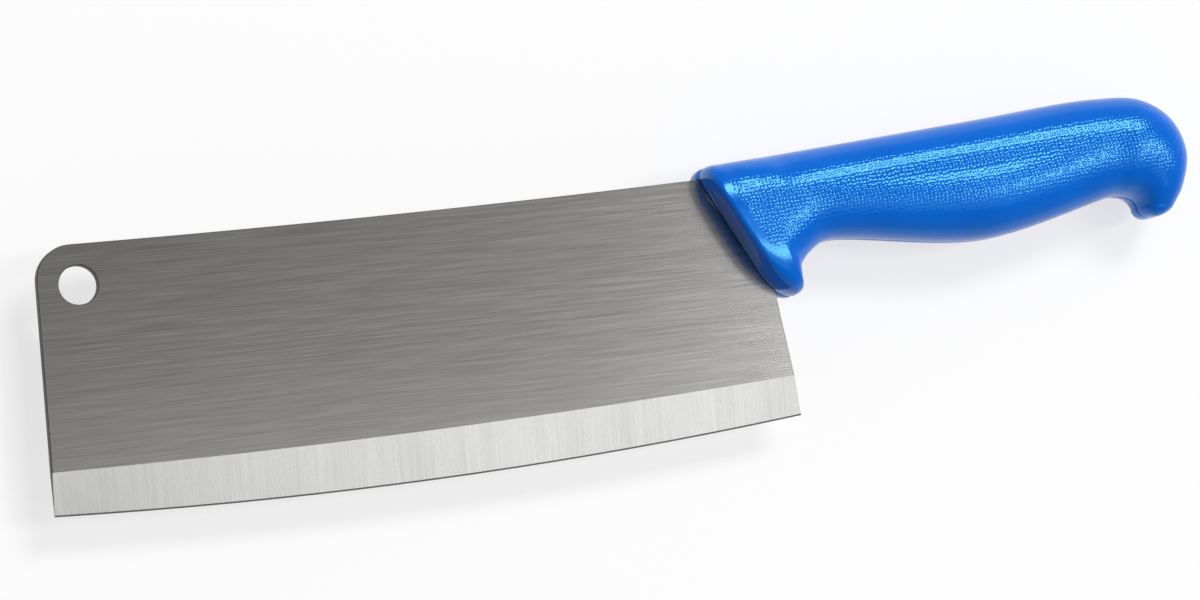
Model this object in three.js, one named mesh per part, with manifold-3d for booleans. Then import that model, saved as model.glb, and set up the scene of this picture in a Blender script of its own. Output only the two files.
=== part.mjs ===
// A heavy kitchen cleaver lying on its side:
// a ground steel blade whose tang runs inside a moulded plastic handle.
// Millimetres. X runs from the tip end to the butt, Y from the cutting edge to the spine, Z is up.

import * as THREE from "three";
import { mergeVertices } from "three/addons/utils/BufferGeometryUtils.js";
import Module from "manifold-3d";

const wasm = await Module();
wasm.setup();

// Blade plate, measured from where the chord of the spine meets the tip end
const bladeThickness = 4;
const spineLength = 179.4; // along the chord, from the tip end to the collar
const spineSag = 0.95; // hollow of the spine below its chord
const tipHeight = 68.6; // chord of the spine to the foot of the tip end
const heelHeight = 66.1; // chord of the spine to the heel corner
const edgeLength = 203; // foot of the tip end to the heel corner
const edgeBelly = 3.75; // bulge of the cutting edge below its chord
const tipLean = THREE.MathUtils.degToRad(2.3); // the foot of the tip end stands forward
const heelLean = THREE.MathUtils.degToRad(5.6); // the heel corner stands back
const cornerRadius = 9; // round corner between tip end and spine
const hangHoleDiameter = 10.2;
const hangHoleInset = 10.5; // hole centre to tip end and to spine

// Grinding of the cutting edge
const bevelAtTip = 11.2; // width of the ground bevel at the tip end
const bevelAtHeel = 10.9;
const bevelBelly = 1.9; // bulge of the bevel's upper line
const honeWidth = 0.45; // narrow honed strip along the very edge
const honeThickness = 0.5; // plate left where the honed strip starts
const edgeThickness = 0.12;

// Tang, measured along the handle's top line from the collar and square below that line
const tangLength = 106;
const tangTop = 6;
const tangHeight = 15;
const tangHoleDiameter = 7;
const tangHoleStart = 36;
const tangHoleSpacing = 27;
const tangHoleCount = 3;
const spineInCollar = 7; // full height of the plate past the collar face, before the shoulder
const heelInCollar = 6; // length of the heel line hidden in the guard
const shoulderLength = 9;

// Handle, measured the same way
const handleRise = THREE.MathUtils.degToRad(4); // top line against the chord of the spine
const collarLean = THREE.MathUtils.degToRad(27); // collar face against the square to the spine's chord
const topAboveSpine = 3; // top corner of the collar above the chord of the spine
const guardDrop = 38.6; // top line to the lowest point of the finger guard
const guardThickness = 7.5; // square to the collar face
const notchBehindFace = 22; // middle of the finger notch, square to the collar face
const notchHeight = 25.5;
const hollowFlatness = 1.3; // hollow from the guard to the notch: 1 is an ellipse, more is flatter
const swellPosition = 80.7;
const swellHeight = 33;
const neckPosition = 120;
const neckHeight = 27.9;
const buttRadius = 17.2;
const buttMiddle = 18.3; // top line to the middle of the butt
const buttStart = THREE.MathUtils.degToRad(68); // turn at which the top line runs into the round butt
const buttEnd = THREE.MathUtils.degToRad(-36); // turn at which the butt runs out into the hook
const handleLength = 144.9;
const hookRun = 6.5; // straight outer side of the hook
const hookDrop = 31.9; // top line to the inner side of the hook, where its tip starts
const hookTipLength = 9.9; // thickness of the hook where its tip starts, along the top line
const hookTipBulge = 3; // the rounded tip beyond that
const hookTipRound = 4.6;
const tipRoundShare = 0.94; // most of the tip's half thickness that its rounding may take
const collarHalfWidth = 13.5;
const notchHalfWidth = 11.4;
const swellHalfWidth = 12.6;
const neckHalfWidth = 12;
const buttHalfWidth = 12.6;
const hookHalfWidth = 7.7;

// Roundings of the collar face, and the handle's sections
const rimRadius = 1.8; // between the face and the flanks
const faceRoundDepth = 4.5; // reach of the next two behind the face
const topRound = 5.5; // height of the rounding up to the top line
const footRound = 8.4; // height of the rounding down to the foot of the guard
const collarShoulder = 4; // exponent of the section's upper half: 2 is an ellipse, more is squarer
const gripShoulder = 2.25;
const collarSquareness = 3.5; // the same for the lower half
const gripSquareness = 2.7;
const scoopDepth = 0.7; // shallow hollow along the upper flank of the grip
const scoopHeight = 0.25; // its middle, as a share of the half height above the section's middle
const scoopSpread = 0.3;
const partingWidth = 0.9; // fine groove where the two halves of the mould met
const partingDepth = 0.35;
const grooveShare = 0.25; // most of a drawn-in section that the groove may take

const fitClearance = 0.3; // blade to handle, all round
const stockSpare = 20; // stock beyond the finished outline, which the grinding takes away

// Facets
const flankPoints = 17; // section points on one flank
const ringSpacing = 3.5; // longest step between sections of the handle
const rimSteps = 7;
const arcSteps = 10;
const holeSteps = 36;
const spineStations = 18;
const grindStations = 30;
const guardTurns = [0, 45, 80]; // degrees round the back of the guard's foot
const hollowTurns = [30, 60, 90]; // degrees along the hollow from the guard to the finger notch
const buttStations = 4;
const mergeTolerance = 1e-4;

const steel = new THREE.MeshStandardMaterial({ color: 0x8d8e90, roughness: 0.38, metalness: 1 });
const bluePlastic = new THREE.MeshStandardMaterial({ color: 0x0a5fd8, roughness: 0.42, metalness: 0 });

// Booleans on closed geometries

function toSolid(geometry) {
  const bare = geometry.clone();
  bare.deleteAttribute("normal");
  bare.deleteAttribute("uv");
  const merged = mergeVertices(bare, mergeTolerance);
  const mesh = new wasm.Mesh({
    numProp: 3,
    vertProperties: new Float32Array(merged.attributes.position.array),
    triVerts: new Uint32Array(merged.index.array),
  });
  return new wasm.Manifold(mesh);
}

function toGeometry(solid) {
  const mesh = solid.getMesh();
  const geometry = new THREE.BufferGeometry();
  geometry.setAttribute("position", new THREE.BufferAttribute(mesh.vertProperties, 3));
  geometry.setIndex(new THREE.BufferAttribute(mesh.triVerts, 1));
  geometry.computeVertexNormals();
  return geometry;
}

// Joins rings of equally many points into one closed skin, with a fan over each end
function loft(rings) {
  const count = rings[0].length;
  const centre = (ring) => ring.reduce((sum, p) => sum.add(p), new THREE.Vector3()).divideScalar(count);
  const points = [...rings.flat(), centre(rings[0]), centre(rings.at(-1))];
  const firstCentre = points.length - 2;
  const lastCentre = points.length - 1;
  const lastRing = (rings.length - 1) * count;
  const triangles = [];
  for (let i = 0; i < count; i++) {
    const next = (i + 1) % count;
    for (let start = 0; start < lastRing; start += count) {
      triangles.push(start + i, start + next, start + count + next);
      triangles.push(start + i, start + count + next, start + count + i);
    }
    triangles.push(firstCentre, next, i);
    triangles.push(lastCentre, lastRing + i, lastRing + next);
  }
  return new THREE.BufferGeometry().setFromPoints(points).setIndex(triangles);
}

// Blade

// Height of a line from one end to the other that bulges downwards by sag half way
function bowed(x, start, end, sag) {
  const along = (x - start.x) / (end.x - start.x);
  return THREE.MathUtils.lerp(start.y, end.y, along) - 4 * sag * along * (1 - along);
}

const spineStart = new THREE.Vector2(0, 0);
const spineEnd = new THREE.Vector2(spineLength, 0);
const tipFoot = new THREE.Vector2(-tipHeight * Math.tan(tipLean), -tipHeight);
const heelCorner = new THREE.Vector2(tipFoot.x + edgeLength, -heelHeight);
const spineY = (x) => bowed(x, spineStart, spineEnd, spineSag);
const edgeY = (x) => bowed(x, tipFoot, heelCorner, edgeBelly);

const bevelStart = new THREE.Vector2(tipFoot.x, tipFoot.y + bevelAtTip);
const bevelEnd = new THREE.Vector2(heelCorner.x, heelCorner.y + bevelAtHeel);
const bevelY = (x) => bowed(x, bevelStart, bevelEnd, bevelBelly);

// The handle's own axes, in the blade's coordinates
const collarTop = new THREE.Vector2(spineLength - topAboveSpine * Math.tan(collarLean), topAboveSpine);
const faceLean = collarLean - handleRise;

function onHandle(along, below) {
  return new THREE.Vector2(along, -below).rotateAround(new THREE.Vector2(), handleRise).add(collarTop);
}

function behindFace(distance, below) {
  return onHandle(below * Math.tan(faceLean) + distance / Math.cos(faceLean), below);
}

// Point at a distance from the tip end and from the spine
function fromTipCorner(inset) {
  const x = inset / Math.cos(tipLean) - inset * Math.tan(tipLean);
  return new THREE.Vector2(x, spineY(x) - inset);
}

function arcPoints(centre, radius, startAngle, endAngle, steps) {
  return new THREE.EllipseCurve(centre.x, centre.y, radius, radius, startAngle, endAngle).getPoints(steps);
}

// Outline of the plate, counter-clockwise from the foot of the tip end, left long past the cutting edge
function plateOutline() {
  const edgeSpare = edgeBelly + stockSpare;
  const heelUp = new THREE.Vector2(-Math.sin(heelLean), Math.cos(heelLean));
  const guardFoot = behindFace(0, guardDrop);
  const heelVisible = (guardFoot.y - heelCorner.y) / heelUp.y;
  const heelTop = heelCorner.clone().addScaledVector(heelUp, heelVisible + heelInCollar);
  const heelSpare = heelCorner.clone().addScaledVector(heelUp, -edgeSpare / heelUp.y);
  const tipSpare = new THREE.Vector2(tipFoot.x - edgeSpare * Math.tan(tipLean), tipFoot.y - edgeSpare);

  const tangRound = tangHeight / 2;
  const tangRoundCentre = onHandle(tangLength - tangRound, tangTop + tangRound);
  const quarter = Math.PI / 2;
  const tangEnd = arcPoints(tangRoundCentre, tangRound, handleRise - quarter, handleRise + quarter, arcSteps);

  const spineStop = spineLength + spineInCollar;
  const tangStartAbove = onHandle(spineInCollar + shoulderLength, tangTop);
  const heelBehind = heelTop.x - collarTop.x;
  const tangStartBelow = onHandle(heelBehind + shoulderLength, tangTop + tangHeight);

  const corner = fromTipCorner(cornerRadius);
  const tipCorner = arcPoints(corner, cornerRadius, quarter, Math.PI - tipLean, arcSteps);
  const spine = [];
  for (let i = 0; i < spineStations; i++) {
    const x = THREE.MathUtils.lerp(spineStop, corner.x, i / spineStations);
    spine.push(new THREE.Vector2(x, spineY(x)));
  }
  return [tipSpare, heelSpare, heelTop, tangStartBelow, ...tangEnd, tangStartAbove, ...spine, ...tipCorner];
}

// Moves every side of a counter-clockwise outline outwards by the same distance
function grown(outline, distance) {
  return outline.map((point, i) => {
    const before = outline.at(i - 1);
    const after = outline[(i + 1) % outline.length];
    const sideIn = point.clone().sub(before).normalize();
    const sideOut = after.clone().sub(point).normalize();
    const outIn = new THREE.Vector2(sideIn.y, -sideIn.x);
    const outOut = new THREE.Vector2(sideOut.y, -sideOut.x);
    const mitre = outIn.clone().add(outOut).divideScalar(1 + outIn.dot(outOut));
    return point.clone().addScaledVector(mitre, distance);
  });
}

// The stamped plate with its hang hole and tang holes, or the room it needs when grown by a clearance
function stampedPlate(growth) {
  const plan = new THREE.Shape(grown(plateOutline(), growth));
  const addHole = (centre, diameter) => {
    plan.holes.push(new THREE.Path(arcPoints(centre, diameter / 2 - growth, 0, 2 * Math.PI, holeSteps)));
  };
  addHole(fromTipCorner(hangHoleInset), hangHoleDiameter);
  for (let i = 0; i < tangHoleCount; i++) {
    addHole(onHandle(tangHoleStart + i * tangHoleSpacing, tangTop + tangHeight / 2), tangHoleDiameter);
  }
  const depth = bladeThickness + 2 * growth;
  const plate = new THREE.ExtrudeGeometry(plan, { depth, bevelEnabled: false });
  return toSolid(plate.translate(0, 0, -depth / 2));
}

// Stock with the ground section: parallel faces down to the bevel line, then bevel, honed strip and edge
function groundStock() {
  const first = tipFoot.x - stockSpare;
  const last = onHandle(tangLength, tangTop).x + stockSpare;
  const rings = [];
  for (let i = 0; i <= grindStations; i++) {
    const x = THREE.MathUtils.lerp(first, last, i / grindStations);
    const flank = [
      [onHandle(tangLength, 0).y + stockSpare, bladeThickness / 2],
      [bevelY(x), bladeThickness / 2],
      [edgeY(x) + honeWidth, honeThickness / 2],
      [edgeY(x), edgeThickness / 2],
    ];
    const near = flank.map(([y, z]) => new THREE.Vector3(x, y, z));
    const far = flank.map(([y, z]) => new THREE.Vector3(x, y, -z));
    rings.push([...near, ...far.reverse()]);
  }
  return toSolid(loft(rings));
}

const blade = new THREE.Mesh(toGeometry(stampedPlate(0).intersect(groundStock())), steel);
blade.name = "blade";

// Handle

// Closed section between a point on the top line and one on the underside, drawn in by inset all round
function handleRing({ top, bottom, halfWidth, shoulder, squareness, scoop }, inset) {
  const up = top.clone().sub(bottom);
  const halfHeight = up.length() / 2 - inset;
  const middle = top.clone().add(bottom).divideScalar(2);
  up.normalize();
  const width = halfWidth - inset;
  const groove = Math.min(partingWidth / 2, width * grooveShare);
  const at = (height, z) => {
    const point = middle.clone().addScaledVector(up, height);
    return new THREE.Vector3(point.x, point.y, z);
  };
  const flank = [at(halfHeight, groove)];
  for (let i = 1; i <= flankPoints; i++) {
    const angle = (Math.PI * i) / (flankPoints + 1);
    const power = 2 / (Math.cos(angle) > 0 ? shoulder : squareness);
    const height = Math.sign(Math.cos(angle)) * Math.abs(Math.cos(angle)) ** power;
    const reach = Math.sin(angle) ** power;
    const hollow = scoop * Math.exp(-(((height - scoopHeight) / scoopSpread) ** 2));
    flank.push(at(height * halfHeight, Math.max(width * reach - hollow, groove)));
  }
  flank.push(at(-halfHeight, groove));
  const grooveDepth = Math.min(partingDepth, halfHeight * grooveShare);
  const otherFlank = flank.map((p) => new THREE.Vector3(p.x, p.y, -p.z)).reverse();
  return [at(halfHeight - grooveDepth, 0), ...flank, at(grooveDepth - halfHeight, 0), ...otherFlank];
}

// How far an outline is drawn in at a distance behind the collar face, along a quarter of an ellipse
function roundedOff(distance, depth, height) {
  const share = Math.max(1 - distance / depth, 0);
  return height * (1 - Math.sqrt(1 - share ** 2));
}

// Stations of the handle from the collar face to the hook
function handleStations() {
  const stations = [];

  // Collar and finger guard: the rounded face, the foot's round back and the hollow up to the finger notch
  const guardRound = guardThickness - faceRoundDepth;
  const guardBackHeight = guardDrop - guardRound;
  const atFace = (distance, below) => {
    const share = distance / notchBehindFace;
    const width = THREE.MathUtils.lerp(collarHalfWidth, notchHalfWidth, share);
    stations.push({
      top: behindFace(distance, roundedOff(distance, faceRoundDepth, topRound)),
      bottom: behindFace(distance, below - roundedOff(distance, faceRoundDepth, footRound)),
      halfWidth: width - roundedOff(distance, rimRadius, rimRadius),
      shoulder: THREE.MathUtils.lerp(collarShoulder, gripShoulder, share),
      squareness: THREE.MathUtils.lerp(collarSquareness, gripSquareness, share),
      scoop: 0,
    });
  };
  for (let i = 0; i < rimSteps; i++) {
    const angle = (Math.PI / 2) * (i / rimSteps);
    atFace(faceRoundDepth * (1 - Math.cos(angle)), guardDrop);
  }
  for (const turn of guardTurns) {
    const angle = THREE.MathUtils.degToRad(turn);
    const distance = faceRoundDepth + guardRound * Math.sin(angle);
    atFace(distance, guardBackHeight + guardRound * Math.cos(angle));
  }
  for (const turn of hollowTurns) {
    const angle = THREE.MathUtils.degToRad(turn);
    const back = (notchBehindFace - guardThickness) * Math.cos(angle) ** hollowFlatness;
    const rise = (guardBackHeight - notchHeight) * Math.sin(angle) ** hollowFlatness;
    atFace(notchBehindFace - back, guardBackHeight - rise);
  }

  // Grip
  const onGrip = (top, bottom, halfWidth, scoop) => {
    stations.push({ top, bottom, halfWidth, shoulder: gripShoulder, squareness: gripSquareness, scoop });
  };
  onGrip(onHandle(swellPosition, 0), onHandle(swellPosition, swellHeight), swellHalfWidth, scoopDepth);
  onGrip(onHandle(neckPosition, 0), onHandle(neckPosition, neckHeight), neckHalfWidth, 0);

  // Hook: the outside runs round the butt and straight on while the inside runs down to the blunt tip
  const buttCentre = new THREE.Vector2(handleLength - buttRadius, buttMiddle);
  const outside = [];
  for (let i = 0; i < buttStations; i++) {
    const turn = THREE.MathUtils.lerp(buttStart, buttEnd, i / (buttStations - 1));
    const outwards = new THREE.Vector2(Math.cos(turn), -Math.sin(turn));
    outside.push(outwards.multiplyScalar(buttRadius).add(buttCentre));
  }
  const runDirection = new THREE.Vector2(Math.sin(buttEnd), Math.cos(buttEnd));
  const tipOutside = outside.at(-1).clone().addScaledVector(runDirection, hookRun);
  outside.push(tipOutside);
  const hookReach = tipOutside.x - hookTipLength - neckPosition;
  outside.forEach((top, i) => {
    const share = (i + 1) / outside.length;
    const angle = (Math.PI / 2) * share;
    const along = neckPosition + hookReach * Math.sin(angle);
    const below = hookDrop - (hookDrop - neckHeight) * Math.cos(angle);
    const halfWidth = THREE.MathUtils.lerp(buttHalfWidth, hookHalfWidth, share ** 2);
    onGrip(onHandle(top.x, top.y), onHandle(along, below), halfWidth, 0);
  });
  return stations;
}

// Rounded tip of the hook: the last section is drawn in while it moves on, its outer end along the outer side
function hookTipRings(station) {
  const across = station.top.clone().sub(station.bottom);
  const thickness = across.length();
  across.normalize();
  const outwards = new THREE.Vector2(across.y, -across.x);
  const taper = Math.tan(-buttEnd) * hookTipBulge;
  const round = Math.min(hookTipRound, ((thickness - taper) / 2) * tipRoundShare);
  const rings = [];
  for (let i = 1; i <= rimSteps; i++) {
    const angle = (Math.PI / 2) * (i / rimSteps);
    const move = outwards.clone().multiplyScalar(hookTipBulge * Math.sin(angle));
    const top = station.top.clone().add(move).addScaledVector(across, -taper * Math.sin(angle));
    const bottom = station.bottom.clone().add(move);
    rings.push(handleRing({ ...station, top, bottom }, round * (1 - Math.cos(angle))));
  }
  return rings;
}

function handleBody() {
  const stations = handleStations();
  const curve = (pick) => new THREE.CatmullRomCurve3(stations.map(pick), false, "centripetal");
  const topLine = curve((s) => new THREE.Vector3(s.top.x, s.top.y, s.halfWidth));
  const underside = curve((s) => new THREE.Vector3(s.bottom.x, s.bottom.y, 0));
  const shapes = curve((s) => new THREE.Vector3(s.shoulder, s.squareness, s.scoop));
  const rings = [];
  const addRing = (share) => {
    const top = topLine.getPoint(share);
    const bottom = underside.getPoint(share);
    const shape = shapes.getPoint(share);
    const section = {
      top: new THREE.Vector2(top.x, top.y),
      bottom: new THREE.Vector2(bottom.x, bottom.y),
      halfWidth: top.z,
      shoulder: shape.x,
      squareness: shape.y,
      scoop: Math.max(shape.z, 0),
    };
    rings.push(handleRing(section, 0));
  };
  const spans = stations.length - 1;
  for (let span = 0; span < spans; span++) {
    const [from, to] = stations.slice(span);
    const longest = Math.max(from.top.distanceTo(to.top), from.bottom.distanceTo(to.bottom));
    const steps = Math.ceil(longest / ringSpacing);
    for (let i = 0; i < steps; i++) addRing((span + i / steps) / spans);
  }
  addRing(1);
  return toSolid(loft([...rings, ...hookTipRings(stations.at(-1))]));
}

const handle = new THREE.Mesh(toGeometry(handleBody().subtract(stampedPlate(fitClearance))), bluePlastic);
handle.name = "handle";

// The origin is under the middle of the cleaver, on the surface it lies on
const cleaver = new THREE.Group();
const parts = new THREE.Group();
parts.add(blade, handle);
const box = new THREE.Box3().setFromObject(parts);
parts.position.set(-(box.min.x + box.max.x) / 2, -(box.min.y + box.max.y) / 2, -box.min.z);
cleaver.add(parts);

export default cleaver;
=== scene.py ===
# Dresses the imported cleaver: a brushed blade with a bright ground bevel and a grained, moulded handle,
# lying on a pale floor under soft studio light.
import math

import bmesh
import bpy
import numpy as np
from mathutils import Matrix, Vector
from mathutils.kdtree import KDTree


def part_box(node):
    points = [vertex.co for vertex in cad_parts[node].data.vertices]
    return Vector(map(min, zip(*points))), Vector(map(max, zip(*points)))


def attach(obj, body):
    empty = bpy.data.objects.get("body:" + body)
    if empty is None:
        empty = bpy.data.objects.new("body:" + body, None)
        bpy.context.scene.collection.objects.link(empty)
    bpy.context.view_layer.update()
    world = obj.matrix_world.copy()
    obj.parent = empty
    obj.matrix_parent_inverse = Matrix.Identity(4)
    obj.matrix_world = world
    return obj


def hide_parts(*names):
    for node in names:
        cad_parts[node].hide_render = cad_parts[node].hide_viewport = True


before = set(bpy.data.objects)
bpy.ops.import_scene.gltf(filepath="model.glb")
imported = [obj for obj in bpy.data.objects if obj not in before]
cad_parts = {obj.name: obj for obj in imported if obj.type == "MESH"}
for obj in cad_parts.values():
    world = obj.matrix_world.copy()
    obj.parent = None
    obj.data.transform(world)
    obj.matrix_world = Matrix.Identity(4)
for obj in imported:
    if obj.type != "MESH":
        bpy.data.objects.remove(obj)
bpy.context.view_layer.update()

MM = 0.001

# Blade sizes that the handle is set out from, in millimetres, as in the solid
SPINE_LENGTH = 179.4
TIP_HEIGHT = 68.6
HEEL_HEIGHT = 66.1
EDGE_BELLY = 3.75
TIP_LEAN = math.radians(2.3)

# Handle sizes in millimetres, as in the solid: along the top line from the collar, and square below it
HANDLE_RISE = math.radians(4)
COLLAR_LEAN = math.radians(27)
TOP_ABOVE_SPINE = 3.0
GUARD_DROP = 38.6
GUARD_THICKNESS = 7.5
NOTCH_BEHIND_FACE = 22.0
NOTCH_HEIGHT = 25.5
HOLLOW_FLATNESS = 1.3
SWELL_POSITION = 80.7
SWELL_HEIGHT = 33.0
NECK_POSITION = 120.0
NECK_HEIGHT = 27.9
BUTT_RADIUS = 17.2
BUTT_MIDDLE = 18.3
BUTT_START = math.radians(68)
BUTT_END = math.radians(-36)
HANDLE_LENGTH = 144.9
HOOK_RUN = 6.5
HOOK_DROP = 31.9
HOOK_TIP_LENGTH = 9.9
HOOK_TIP_BULGE = 3.0
HOOK_TIP_ROUND = 4.6
TIP_ROUND_SHARE = 0.94
COLLAR_HALF_WIDTH = 13.43  # a hair less than in the solid, as the crisper rim takes less off it
NOTCH_HALF_WIDTH = 11.4
SWELL_HALF_WIDTH = 12.6
NECK_HALF_WIDTH = 12.0
BUTT_HALF_WIDTH = 12.6
HOOK_HALF_WIDTH = 7.7
RIM_RADIUS = 1.1  # crisper than in the solid
FACE_ROUND_DEPTH = 4.5
TOP_ROUND = 5.5
FOOT_ROUND = 8.4
COLLAR_SHOULDER = 4.0
GRIP_SHOULDER = 2.25
COLLAR_SQUARENESS = 3.5
GRIP_SQUARENESS = 2.7
SCOOP_DEPTH = 0.7
SCOOP_HEIGHT = 0.25
SCOOP_SPREAD = 0.3
CREASE_SHARE = 0.3  # narrower hollow in the scoop, drawn here only: its share of the scoop's depth
CREASE_HEIGHT = 0.15
CREASE_SPREAD = 0.14
GUARD_TURNS = (0, 45, 80)
HOLLOW_TURNS = (30, 60, 90)
BUTT_STATIONS = 4
FIT_CLEARANCE = 0.3

# Parting line of the mould, in millimetres: a fine groove all round, opening into a notch at the collar
PARTING_WIDTH = 0.35
PARTING_DEPTH = 0.35
GROOVE_SHARE = 0.25  # most of a drawn-in section's half height that the groove may take
COLLAR_GROOVE_WIDTH = 1.2
COLLAR_GROOVE_DEPTH = 0.8
COLLAR_GROOVE_REACH = 4.5

# Pebble grain of the flanks, in millimetres
GRAIN_CELL = 1.05
GRAIN_HEIGHT = 0.042
GRAIN_DISORDER = 0.45  # 0 sets the domes in a square grid, 1 scatters them
DOME_RADIUS = 0.5  # as a share of the cell
GRAIN_TOP_MARGIN = 4.0
GRAIN_FOOT_MARGIN = 4.0
GRAIN_FACE_MARGIN = 3.0
GRAIN_TOP_FADE = 1.4
GRAIN_FOOT_FADE = 2.8
GRAIN_FACE_FADE = 0.56
GRAIN_HOOK_START = 21.0
GRAIN_HOOK_END = 28.0
MARGIN_SHARE = 0.7  # most of a small section's half height that a margin may take

# Mesh steps of the handle, in millimetres and points
RING_SPACING = 0.7
RIM_STEPS = 14
GROOVE_STEPS = (0.0, 0.1, 0.2, 0.3, 0.42, 0.6, 0.85)  # distances from the parting line
SHOULDER_POINTS = 16
FLANK_POINTS = 44
DENSE_POINTS = 361  # of the fine section that the points of the mesh are picked from
SHARP_ANGLE = math.radians(42)
SHORTEST_SPAN = 1e-6

# Blade finish, in millimetres: rims are rounded, and a face is told by the upright share of its normal
EDGE_ROUND = 0.15
RIM_ANGLE = math.radians(45)  # least turn between the faces at a sharp rim
EDGE_ROUND_STEPS = 3
FLAT_SLOPE = 0.9995
BEVEL_SLOPE = 0.975
WALL_SLOPE = 0.7
HONE_DEPTH = 0.45  # steep faces nearer to the mid-plane than this belong to the honed strip
LEVEL_TOLERANCE = 0.01
WELD_DISTANCE = 0.002
FLAT_ANGLE = math.radians(0.05)
SATIN, GROUND, STAMPED_AND_PAINTED_SHADE, HONED = range(4)

# Camera, in metres, with lens and sensor in millimetres: it leans from upright towards tip and edge
CAMERA_AIM = (-0.01241, 0.00078, 0.013335)
CAMERA_DISTANCE = 0.95
CAMERA_TOWARDS_TIP = math.radians(17)
CAMERA_TOWARDS_EDGE = math.radians(6)
CAMERA_TURN = math.radians(-7.84)
CAMERA_LENS = 107.1
CAMERA_SENSOR = 36.0

# Floor, in metres, and the brightness of floor, horizon and sky
FLOOR_HALF_SIZE = 12.0
FLOOR_DROP = 0.00005  # keeps the floor just clear of the lowest faces
FLOOR_GLOW = 0.68
HORIZON_LEVEL = 0.6
ZENITH_LEVEL = 0.15

# Softboxes: direction from the blade, half angles in degrees, and brightness
LAMP_DISTANCE = 4.0
SOFTBOXES = {
    "key": ((0.346, 0.511, 0.787), (12, 7), 16.5),
    "side": ((0.574, 0.02, 0.819), (9, 5), 14.0),
    "strip": ((0.311, -0.2, 0.929), (17.5, 12.5), 1.0),
}


# Outlines and rails of the handle

COLLAR_TOP = np.array([SPINE_LENGTH - TOP_ABOVE_SPINE * math.tan(COLLAR_LEAN), TOP_ABOVE_SPINE])
FACE_LEAN = COLLAR_LEAN - HANDLE_RISE


def on_handle(along, below):
    """Point in the blade's plan from a length along the handle's top line and a depth below it."""
    cosine, sine = math.cos(HANDLE_RISE), math.sin(HANDLE_RISE)
    return COLLAR_TOP + np.array([along * cosine + below * sine, along * sine - below * cosine])


def from_plan(plan):
    """Lengths along the handle's top line and depths below it, of points in the blade's plan."""
    cosine, sine = math.cos(HANDLE_RISE), math.sin(HANDLE_RISE)
    away = plan - COLLAR_TOP
    along = away[..., 0] * cosine + away[..., 1] * sine
    below = away[..., 0] * sine - away[..., 1] * cosine
    return along, below


def behind_face(distance, below):
    return on_handle(below * math.tan(FACE_LEAN) + distance / math.cos(FACE_LEAN), below)


def lerp(start, end, share):
    return start + (end - start) * share


def rounded_off(distance, depth, height):
    """How far an outline is drawn in at a distance behind the face, along a quarter of an ellipse."""
    share = max(1 - distance / depth, 0)
    return height * (1 - math.sqrt(1 - share ** 2))


def handle_stations():
    """Sections of the handle: top and bottom point, half width, shoulder, squareness, scoop and groove."""
    stations = []

    def at_face(distance, below):
        share = distance / NOTCH_BEHIND_FACE
        half_width = lerp(COLLAR_HALF_WIDTH, NOTCH_HALF_WIDTH, share)
        stations.append((
            behind_face(distance, rounded_off(distance, FACE_ROUND_DEPTH, TOP_ROUND)),
            behind_face(distance, below - rounded_off(distance, FACE_ROUND_DEPTH, FOOT_ROUND)),
            half_width - rounded_off(distance, RIM_RADIUS, RIM_RADIUS),
            lerp(COLLAR_SHOULDER, GRIP_SHOULDER, share),
            lerp(COLLAR_SQUARENESS, GRIP_SQUARENESS, share),
            0.0,
            COLLAR_GROOVE_DEPTH * math.exp(-(distance / COLLAR_GROOVE_REACH) ** 2),
        ))

    def on_grip(top, bottom, half_width, scoop):
        stations.append((top, bottom, half_width, GRIP_SHOULDER, GRIP_SQUARENESS, scoop, 0.0))

    guard_round = GUARD_THICKNESS - FACE_ROUND_DEPTH
    guard_back = GUARD_DROP - guard_round
    for i in range(RIM_STEPS):
        at_face(FACE_ROUND_DEPTH * (1 - math.cos(math.pi / 2 * i / RIM_STEPS)), GUARD_DROP)
    for turn in GUARD_TURNS:
        angle = math.radians(turn)
        below = guard_back + guard_round * math.cos(angle)
        at_face(FACE_ROUND_DEPTH + guard_round * math.sin(angle), below)
    for turn in HOLLOW_TURNS:
        angle = math.radians(turn)
        back = (NOTCH_BEHIND_FACE - GUARD_THICKNESS) * math.cos(angle) ** HOLLOW_FLATNESS
        rise = (guard_back - NOTCH_HEIGHT) * math.sin(angle) ** HOLLOW_FLATNESS
        at_face(NOTCH_BEHIND_FACE - back, guard_back - rise)
    for along, height, half_width, scoop in (
        (SWELL_POSITION, SWELL_HEIGHT, SWELL_HALF_WIDTH, SCOOP_DEPTH),
        (NECK_POSITION, NECK_HEIGHT, NECK_HALF_WIDTH, 0.0),
    ):
        on_grip(on_handle(along, 0), on_handle(along, height), half_width, scoop)

    outside = []
    for turn in np.linspace(BUTT_START, BUTT_END, BUTT_STATIONS):
        outwards = np.array([math.cos(turn), -math.sin(turn)])
        outside.append(np.array([HANDLE_LENGTH - BUTT_RADIUS, BUTT_MIDDLE]) + BUTT_RADIUS * outwards)
    outside.append(outside[-1] + HOOK_RUN * np.array([math.sin(BUTT_END), math.cos(BUTT_END)]))
    hook_reach = outside[-1][0] - HOOK_TIP_LENGTH - NECK_POSITION
    for i, top in enumerate(outside):
        share = (i + 1) / len(outside)
        angle = math.pi / 2 * share
        along = NECK_POSITION + hook_reach * math.sin(angle)
        below = HOOK_DROP - (HOOK_DROP - NECK_HEIGHT) * math.cos(angle)
        half_width = lerp(BUTT_HALF_WIDTH, HOOK_HALF_WIDTH, share ** 2)
        on_grip(on_handle(*top), on_handle(along, below), half_width, 0.0)
    return stations


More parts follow.
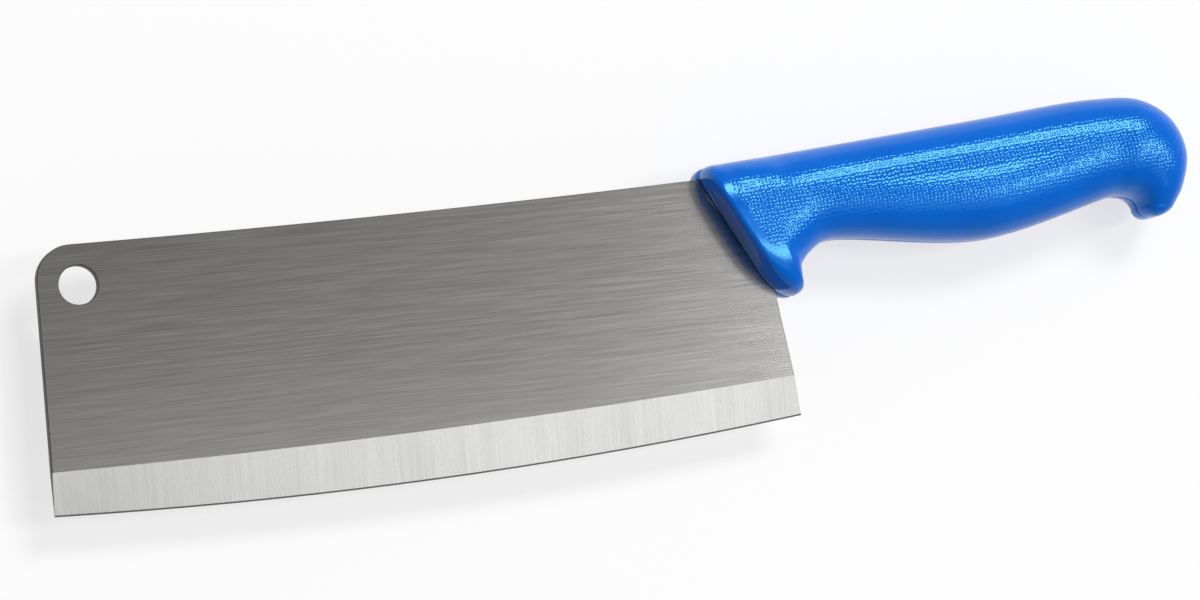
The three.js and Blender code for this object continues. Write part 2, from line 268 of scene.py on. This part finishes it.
def through(points, shares):
    """Centripetal curve through the points, each span taking an equal share of the way from 0 to 1."""
    points = np.asarray(points, float)
    spans = len(points) - 1
    place = np.asarray(shares) * spans
    span = np.minimum(place.astype(int), spans - 1)
    t = (place - span)[:, None]
    padded = np.vstack([2 * points[0] - points[1], points, 2 * points[-1] - points[-2]])
    before, start, end, after = (padded[span + k] for k in range(4))

    def pace(a, b):
        return np.sqrt(np.maximum(np.linalg.norm(b - a, axis=1, keepdims=True), SHORTEST_SPAN))

    lead, run, trail = pace(before, start), pace(start, end), pace(end, after)
    leaving = ((start - before) / lead - (end - before) / (lead + run) + (end - start) / run) * run
    arriving = ((end - start) / run - (after - start) / (run + trail) + (after - end) / trail) * run
    square = 3 * (end - start) - 2 * leaving - arriving
    cube = 2 * (start - end) + leaving + arriving
    return start + leaving * t + square * t ** 2 + cube * t ** 3


def section(top, bottom, half_width, shoulder, squareness, scoop, groove, inset):
    """Half of a closed section: heights and half widths, from the parting line on top down one flank."""
    half_height = np.linalg.norm(top - bottom) / 2 - inset
    width = half_width - inset
    angle = np.linspace(0, math.pi, DENSE_POINTS)
    power = np.where(np.cos(angle) > 0, 2 / shoulder, 2 / squareness)
    height = np.sign(np.cos(angle)) * np.abs(np.cos(angle)) ** power
    reach = np.abs(np.sin(angle)) ** power
    hollow = np.exp(-((height - SCOOP_HEIGHT) / SCOOP_SPREAD) ** 2)
    crease = CREASE_SHARE * np.exp(-((height - CREASE_HEIGHT) / CREASE_SPREAD) ** 2)
    out = np.maximum(width * reach - scoop * (hollow + crease), 0)
    fine = min(PARTING_DEPTH, half_height * GROOVE_SHARE) * np.exp(-(out / PARTING_WIDTH) ** 2)
    wide = groove * np.exp(-(out / COLLAR_GROOVE_WIDTH) ** 2)
    up = height * half_height - np.sign(height) * (fine + wide)

    walked = np.r_[0, np.cumsum(np.hypot(np.diff(up), np.diff(out)))]
    most = half_height * MARGIN_SHARE
    flank_start = np.interp(-(half_height - min(GRAIN_TOP_MARGIN, most)), -up, walked)
    flank_end = np.interp(half_height - min(GRAIN_FOOT_MARGIN, most), -up, walked)
    beside_parting = np.array(GROOVE_STEPS)
    stops = np.concatenate([
        beside_parting,
        np.linspace(beside_parting[-1], flank_start, SHOULDER_POINTS)[1:],
        np.linspace(flank_start, flank_end, FLANK_POINTS)[1:],
        np.linspace(flank_end, walked[-1] - beside_parting[-1], SHOULDER_POINTS)[1:],
        walked[-1] - beside_parting[::-1][1:],
    ])
    return np.interp(stops, walked, up), np.interp(stops, walked, out)


def ring(station, inset=0.0):
    """Closed ring of points round the handle, starting on the parting line at the top."""
    top, bottom = station[0], station[1]
    up, out = section(*station, inset)
    middle = (top + bottom) / 2
    direction = (top - bottom) / np.linalg.norm(top - bottom)
    plan = middle + up[:, None] * direction
    near = np.c_[plan, out]
    far = np.c_[plan, -out][1:-1][::-1]
    return np.vstack([near, far])


def hook_tip_rings(station):
    """Rounded tip of the hook: the last section is drawn in as it moves on, its outer end along the side."""
    top, bottom, *rest = station
    thickness = np.linalg.norm(top - bottom)
    across = (top - bottom) / thickness
    outwards = np.array([across[1], -across[0]])
    taper = math.tan(-BUTT_END) * HOOK_TIP_BULGE
    round_off = min(HOOK_TIP_ROUND, (thickness - taper) / 2 * TIP_ROUND_SHARE)
    rings = []
    for i in range(1, RIM_STEPS + 1):
        angle = math.pi / 2 * i / RIM_STEPS
        move = outwards * HOOK_TIP_BULGE * math.sin(angle)
        outer = top + move - across * taper * math.sin(angle)
        rings.append(ring((outer, bottom + move, *rest), round_off * (1 - math.cos(angle))))
    return rings


def handle_rings():
    stations = handle_stations()
    spans = len(stations) - 1
    shares = []
    for i in range(spans):
        longest = max(np.linalg.norm(stations[i + 1][k] - stations[i][k]) for k in (0, 1))
        steps = math.ceil(longest / RING_SPACING)
        shares += [(i + step / steps) / spans for step in range(steps)]
    shares.append(1.0)
    tops = through([(*station[0], station[2]) for station in stations], shares)
    feet = through([station[1] for station in stations], shares)
    shapes = through([station[3:6] for station in stations], shares)
    grooves = through([station[6:] for station in stations], shares)
    body = []
    for top, foot, (shoulder, squareness, scoop), groove in zip(tops, feet, shapes, grooves[:, 0]):
        body.append(ring((top[:2], foot, top[2], shoulder, squareness, max(scoop, 0), max(groove, 0))))
    return np.array(body + hook_tip_rings(stations[-1]))


# Grain

def smooth_step(low, high, value):
    share = np.clip((value - low) / (high - low), 0, 1)
    return share * share * (3 - 2 * share)


def grain_mask(rings):
    """1 on the grained part of the flanks, 0 on the smooth margins, the rim and the hook's end."""
    plan = rings[..., :2]
    middle = rings.shape[1] // 2
    top, foot = plan[:, :1], plan[:, middle:middle + 1]
    height = np.linalg.norm(top - foot, axis=2)
    depth = np.linalg.norm(plan - top, axis=2)
    along, below = from_plan(plan)
    face = (along - below * math.tan(FACE_LEAN)) * math.cos(FACE_LEAN)
    return (
        smooth_step(GRAIN_TOP_MARGIN, GRAIN_TOP_MARGIN + GRAIN_TOP_FADE, depth)
        * smooth_step(GRAIN_FOOT_MARGIN, GRAIN_FOOT_MARGIN + GRAIN_FOOT_FADE, height - depth)
        * smooth_step(GRAIN_FACE_MARGIN, GRAIN_FACE_MARGIN + GRAIN_FACE_FADE, face)
        * smooth_step(GRAIN_HOOK_END, GRAIN_HOOK_START, below)
    )


# Meshes

def new_object(name, data):
    obj = bpy.data.objects.new(name, data)
    bpy.context.scene.collection.objects.link(obj)
    return obj


def skin(name, rings):
    """Closed mesh over rings of equally many points, with a fan over each end."""
    count, size = rings.shape[:2]
    points = np.vstack([rings.reshape(-1, 3), rings[0].mean(0), rings[-1].mean(0)])
    first, last = count * size, count * size + 1
    index = np.arange(count * size).reshape(count, size)
    turned = np.roll(index, -1, 1)
    quads = np.stack([index[:-1], index[1:], turned[1:], turned[:-1]], -1).reshape(-1, 4)
    faces = quads.tolist()
    faces += [(first, index[0, i], turned[0, i]) for i in range(size)]
    faces += [(last, turned[-1, i], index[-1, i]) for i in range(size)]
    mesh = bpy.data.meshes.new(name)
    mesh.from_pydata(points.tolist(), [], faces)
    mesh.update()
    return mesh


def welded(node):
    """The node's solid as a bmesh with shared corners and its flat faces whole."""
    shape = bmesh.new()
    shape.from_mesh(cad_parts[node].data)
    bmesh.ops.remove_doubles(shape, verts=shape.verts, dist=WELD_DISTANCE * MM)
    bmesh.ops.dissolve_limit(
        shape, angle_limit=FLAT_ANGLE, verts=shape.verts, edges=shape.edges, delimit={"NORMAL"}
    )
    shape.normal_update()
    return shape


def to_mesh(shape, name):
    mesh = bpy.data.meshes.new(name)
    shape.to_mesh(mesh)
    shape.free()
    return mesh


def tang_room():
    """The blade grown by the clearance all round: what the handle leaves free."""
    shape = welded("blade")
    corner_move = FIT_CLEARANCE * math.sqrt(2)  # a square corner moves along its diagonal
    for vertex in shape.verts:
        vertex.co += vertex.normal * corner_move * MM
    bmesh.ops.triangulate(shape, faces=shape.faces)
    return new_object("tang_room", to_mesh(shape, "tang_room"))


def shade_smooth(mesh, sharp_angle):
    mesh.polygons.foreach_set("use_smooth", np.ones(len(mesh.polygons), bool))
    mesh.set_sharp_from_angle(angle=sharp_angle)


def plan_origin():
    """Where the chord of the spine meets the tip end, in metres, from the corner of the blade's box."""
    low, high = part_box("blade")
    # Share of the way along the edge at which its parabola is lowest
    lowest = 0.5 - (TIP_HEIGHT - HEEL_HEIGHT) / (8 * EDGE_BELLY)
    edge_low = lerp(-TIP_HEIGHT, -HEEL_HEIGHT, lowest) - 4 * EDGE_BELLY * lowest * (1 - lowest)
    x = low.x + TIP_HEIGHT * math.tan(TIP_LEAN) * MM
    return np.array([x, low.y - edge_low * MM, (low.z + high.z) / 2])


def make_handle():
    rings = handle_rings()
    mask = grain_mask(rings).ravel()
    rings = rings * MM + plan_origin()
    solid = new_object("handle_solid", skin("handle_solid", rings))
    room = tang_room()
    cut = solid.modifiers.new("tang", "BOOLEAN")
    cut.operation = "DIFFERENCE"
    cut.solver = "MANIFOLD"
    cut.object = room
    bpy.context.view_layer.update()
    shown = solid.evaluated_get(bpy.context.evaluated_depsgraph_get())
    mesh = bpy.data.meshes.new_from_object(shown)
    mesh.name = "handle_moulding"
    for leftover in (solid, room):
        bpy.data.objects.remove(leftover)
    shade_smooth(mesh, SHARP_ANGLE)

    ring_points = KDTree(len(mask))
    for i, point in enumerate(rings.reshape(-1, 3)):
        ring_points.insert(point, i)
    ring_points.balance()
    grain = mesh.attributes.new("grain", "FLOAT", "POINT")
    grain.data.foreach_set("value", [mask[ring_points.find(vertex.co)[1]] for vertex in mesh.vertices])
    return new_object("handle_moulding", mesh)


def make_blade():
    shape = welded("blade")
    low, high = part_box("blade")
    middle = (low.z + high.z) / 2
    face_level = (high.z - low.z) / 2 - LEVEL_TOLERANCE * MM

    def full_thickness(vertex):
        return abs(vertex.co.z - middle) > face_level

    rims = [
        edge for edge in shape.edges
        if all(full_thickness(v) for v in edge.verts) and edge.calc_face_angle(0) > RIM_ANGLE
    ]
    bmesh.ops.bevel(
        shape, geom=rims, offset=EDGE_ROUND * MM, segments=EDGE_ROUND_STEPS, profile=0.5, affect="EDGES"
    )
    shape.normal_update()
    for face in shape.faces:
        slope = abs(face.normal.z)
        depth = abs(face.calc_center_median().z - middle)
        face.smooth = False
        if slope > FLAT_SLOPE:
            face.material_index = SATIN
        elif slope > BEVEL_SLOPE and depth < face_level:
            face.material_index = GROUND
        elif slope > WALL_SLOPE and depth < HONE_DEPTH * MM:
            face.material_index = HONED
        # Walls take the dark stamped finish, and so do the rounded rims, where the dark colour is painted
        # shade that keeps a highlight off them
        else:
            face.material_index = STAMPED_AND_PAINTED_SHADE
    return new_object("blade_steel", to_mesh(shape, "blade_steel"))


# Materials

class Graph:
    """Adds linked nodes to a new material."""

    def __init__(self, name):
        self.material = bpy.data.materials.new(name)
        self.material.use_nodes = True
        self.tree = self.material.node_tree
        self.shader = self.tree.nodes["Principled BSDF"]
        self.place = self.add("ShaderNodeTexCoord").outputs["Object"]

    def add(self, kind, inputs=None, **settings):
        node = self.tree.nodes.new(kind)
        for key, value in settings.items():
            setattr(node, key, value)
        for key, value in (inputs or {}).items():
            self.set(node.inputs[key], value)
        return node

    def set(self, socket, value):
        if isinstance(value, bpy.types.NodeSocket):
            self.tree.links.new(value, socket)
        else:
            socket.default_value = value

    def shade(self, **inputs):
        for key, value in inputs.items():
            self.set(self.shader.inputs[key.replace("_", " ")], value)

    def noise(self, size, detail, rough):
        """Noise whose features measure size along each axis, in millimetres."""
        scale = [1 / (length * MM) for length in size]
        spread = self.add("ShaderNodeMapping", {"Vector": self.place, "Scale": scale})
        inputs = {"Vector": spread.outputs["Vector"], "Scale": 1.0, "Detail": detail, "Roughness": rough}
        return self.add("ShaderNodeTexNoise", inputs).outputs["Fac"]

    def span(self, value, low, high, start=0.25, end=0.75):
        inputs = {"Value": value, "From Min": start, "From Max": end, "To Min": low, "To Max": high}
        return self.add("ShaderNodeMapRange", inputs).outputs["Result"]

    def mix_values(self, a, b, share):
        """Mix of two values, through the sockets that the mix node keeps for plain numbers."""
        inputs = {0: share, 2: a, 3: b}
        return self.add("ShaderNodeMix", inputs, data_type="FLOAT").outputs[0]

    def ramp(self, value, *stops):
        """Colour that runs from the first of two stops to the second."""
        node = self.add("ShaderNodeValToRGB", {"Fac": value})
        bands = node.color_ramp.elements
        for band, (position, colour) in zip(bands, stops):
            band.position = position
            band.color = (*colour, 1)
        return node.outputs["Color"]

    def bump(self, height, strength, depth):
        inputs = {"Height": height, "Strength": strength, "Distance": depth * MM}
        return self.add("ShaderNodeBump", inputs).outputs["Normal"]

    def product(self, a, b):
        return self.add("ShaderNodeMath", {0: a, 1: b}, operation="MULTIPLY").outputs["Value"]

    def larger(self, a, b):
        return self.add("ShaderNodeMath", {0: a, 1: b}, operation="MAXIMUM").outputs["Value"]

    def dots(self, pitch, turn, randomness):
        """Domes in rows at a turn to the X axis: 1 in the middle of a dome, 0 at its rim."""
        scale = (1 / (pitch * MM),) * 3
        inputs = {"Vector": self.place, "Rotation": (0, 0, -turn), "Scale": scale}
        spread = self.add("ShaderNodeMapping", inputs)
        inputs = {"Vector": spread.outputs["Vector"], "Scale": 1.0, "Randomness": randomness}
        cells = self.add("ShaderNodeTexVoronoi", inputs, voronoi_dimensions="2D")
        squared = self.product(cells.outputs["Distance"], cells.outputs["Distance"])
        return self.span(squared, 1, 0, 0, DOME_RADIUS ** 2)

    def across_blade(self):
        return self.add("ShaderNodeTangent", direction_type="RADIAL", axis="X").outputs["Tangent"]


def satin_steel():
    """Flat sides, brushed along the blade."""
    paint = Graph("satin_steel")
    brush = paint.noise((20, 0.3, 20), 2, 0.5)
    drift = paint.noise((60, 5, 60), 2, 0.5)
    streaks = paint.mix_values(brush, drift, 0.1)
    colour = paint.ramp(streaks, (0.3, (0.33, 0.325, 0.318)), (0.7, (0.425, 0.419, 0.411)))
    paint.shade(
        Base_Color=colour, Metallic=1.0, Roughness=paint.span(streaks, 0.19, 0.21), Anisotropic=0.2,
        Tangent=paint.across_blade(), Normal=paint.bump(brush, 0.1, 0.006),
    )
    return paint.material


def ground_steel():
    """Bevel, ground square to the cutting edge."""
    paint = Graph("ground_steel")
    lines = paint.noise((0.3, 30, 30), 4, 0.65)
    drift = paint.noise((9, 40, 40), 2, 0.5)
    streaks = paint.mix_values(lines, drift, 0.3)
    colour = paint.ramp(streaks, (0.3, (0.52, 0.52, 0.51)), (0.7, (0.7, 0.7, 0.69)))
    paint.shade(
        Base_Color=colour, Metallic=1.0, Roughness=paint.span(streaks, 0.24, 0.3), Anisotropic=0.3,
        Anisotropic_Rotation=0.25, Tangent=paint.across_blade(), Normal=paint.bump(lines, 0.2, 0.015),
    )
    return paint.material


def stamped_steel_and_painted_shade():
    """Dull, dark walls left by the stamping; the rounded rims get the same dark colour as painted shade, so
    that they don't catch a highlight.
    """
    paint = Graph("stamped_steel_and_painted_shade")
    marks = paint.noise((0.25, 0.25, 3), 3, 0.6)
    colour = paint.ramp(marks, (0.3, (0.03, 0.03, 0.03)), (0.7, (0.07, 0.068, 0.065)))
    paint.shade(
        Base_Color=colour, Metallic=1.0, Roughness=paint.span(marks, 0.45, 0.6),
        Normal=paint.bump(marks, 0.3, 0.02),
    )
    return paint.material


def honed_steel():
    """Narrow strip at the very edge."""
    paint = Graph("honed_steel")
    lines = paint.noise((0.5, 0.1, 0.1), 3, 0.6)
    colour = paint.ramp(lines, (0.3, (0.3, 0.3, 0.3)), (0.7, (0.42, 0.42, 0.41)))
    paint.shade(Base_Color=colour, Metallic=1.0, Roughness=paint.span(lines, 0.2, 0.3))
    return paint.material


def blue_plastic():
    """Moulded plastic with pebble grain where the mesh says so."""
    paint = Graph("blue_plastic")
    cloud = paint.noise((16, 16, 16), 3, 0.5)
    fine = paint.noise((0.25, 0.25, 0.25), 3, 0.6)
    grained = paint.add("ShaderNodeAttribute", attribute_name="grain").outputs["Fac"]
    pebbles = paint.product(paint.dots(GRAIN_CELL, HANDLE_RISE, GRAIN_DISORDER), grained)
    colour = paint.ramp(cloud, (0.3, (0.0, 0.115, 0.61)), (0.7, (0.0, 0.13, 0.66)))
    paint.shade(
        Base_Color=colour, Roughness=paint.span(fine, 0.15, 0.2), IOR=1.49, Specular_IOR_Level=0.6,
        Specular_Tint=(0.25, 0.9, 1.0, 1), Normal=paint.bump(pebbles, 1.0, GRAIN_HEIGHT),
    )
    return paint.material


def pale_floor():
    """White floor that is part diffuse and part its own light to the camera, so that shadows stay pale."""
    paint = Graph("pale_floor")
    cloud = paint.noise((400, 400, 400), 2, 0.5)
    colour = paint.ramp(cloud, (0.3, (0.95, 0.95, 0.95)), (0.7, (0.97, 0.97, 0.97)))
    paint.shade(Base_Color=colour, Roughness=0.9, Specular_IOR_Level=0.1)
    path = paint.add("ShaderNodeLightPath")
    seen = path.outputs["Is Camera Ray"]
    for kind in ("Is Glossy Ray", "Is Transmission Ray"):
        seen = paint.larger(seen, path.outputs[kind])
    glow = paint.add("ShaderNodeEmission", {"Color": (1, 1, 1, 1), "Strength": 1.0})
    mixed = paint.add("ShaderNodeMixShader", {0: paint.product(seen, FLOOR_GLOW)})
    paint.tree.links.new(paint.shader.outputs["BSDF"], mixed.inputs[1])
    paint.tree.links.new(glow.outputs["Emission"], mixed.inputs[2])
    paint.tree.links.new(mixed.outputs["Shader"], paint.tree.nodes["Material Output"].inputs["Surface"])
    return paint.material


# Pieces

blade = make_blade()
for material in (satin_steel(), ground_steel(), stamped_steel_and_painted_shade(), honed_steel()):
    blade.data.materials.append(material)
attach(blade, "root")
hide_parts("blade")

handle = make_handle()
handle.data.materials.clear()
handle.data.materials.append(blue_plastic())
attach(handle, "root")
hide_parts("handle")


# Stage

def make_floor():
    mesh = bpy.data.meshes.new("floor")
    half = FLOOR_HALF_SIZE
    corners = [(-half, -half, 0), (half, -half, 0), (half, half, 0), (-half, half, 0)]
    mesh.from_pydata(corners, [], [(0, 1, 2, 3)])
    mesh.materials.append(pale_floor())
    floor = new_object("floor", mesh)
    floor.location.z = -FLOOR_DROP


def facing(back):
    """Axes of a lamp or a camera that looks against the given direction, with +Y up in its picture."""
    right = Vector((0, 1, 0)).cross(back).normalized()
    return Matrix((right, back.cross(right), back)).transposed()


def softbox(name, direction, spread, level):
    """Area lamp aimed at the origin: its half angles in degrees, and a level that is its own brightness."""
    lamp = bpy.data.lights.new(name, "AREA")
    lamp.shape = "RECTANGLE"
    lamp.size, lamp.size_y = (2 * LAMP_DISTANCE * math.tan(math.radians(half)) for half in spread)
    lamp.energy = level * math.pi * lamp.size * lamp.size_y
    back = Vector(direction).normalized()
    new_object(name, lamp).matrix_world = Matrix.Translation(back * LAMP_DISTANCE) @ facing(back).to_4x4()


def make_world():
    """Surroundings, pale at the horizon and darker overhead, and white where the camera sees them."""
    world = bpy.data.worlds.new("studio")
    world.use_nodes = True
    nodes, links = world.node_tree.nodes, world.node_tree.links
    place = nodes.new("ShaderNodeTexCoord")
    axes = nodes.new("ShaderNodeSeparateXYZ")
    fade = nodes.new("ShaderNodeMapRange")
    fade.inputs["To Min"].default_value = HORIZON_LEVEL
    fade.inputs["To Max"].default_value = ZENITH_LEVEL
    path = nodes.new("ShaderNodeLightPath")
    level = nodes.new("ShaderNodeMath")
    level.operation = "MAXIMUM"
    links.new(place.outputs["Generated"], axes.inputs["Vector"])
    links.new(axes.outputs["Z"], fade.inputs["Value"])
    links.new(fade.outputs["Result"], level.inputs[0])
    links.new(path.outputs["Is Camera Ray"], level.inputs[1])
    background = nodes["Background"]
    background.inputs["Color"].default_value = (1, 1, 1, 1)
    links.new(level.outputs["Value"], background.inputs["Strength"])
    bpy.context.scene.world = world


def make_camera():
    tip, edge = CAMERA_TOWARDS_TIP, CAMERA_TOWARDS_EDGE
    back = Vector((-math.sin(tip) * math.cos(edge), -math.sin(edge), math.cos(tip) * math.cos(edge)))
    turn = Matrix.Rotation(CAMERA_TURN, 3, "Z")
    place = Vector(CAMERA_AIM) + turn @ back * CAMERA_DISTANCE
    camera = new_object("camera", bpy.data.cameras.new("camera"))
    camera.matrix_world = Matrix.Translation(place) @ (turn @ facing(back)).to_4x4()
    camera.data.sensor_fit = "HORIZONTAL"
    camera.data.sensor_width = CAMERA_SENSOR
    camera.data.lens = CAMERA_LENS
    bpy.context.scene.camera = camera


make_floor()
for name, setting in SOFTBOXES.items():
    softbox(name, *setting)
make_world()
make_camera()
bpy.context.scene.view_settings.view_transform = "Standard"
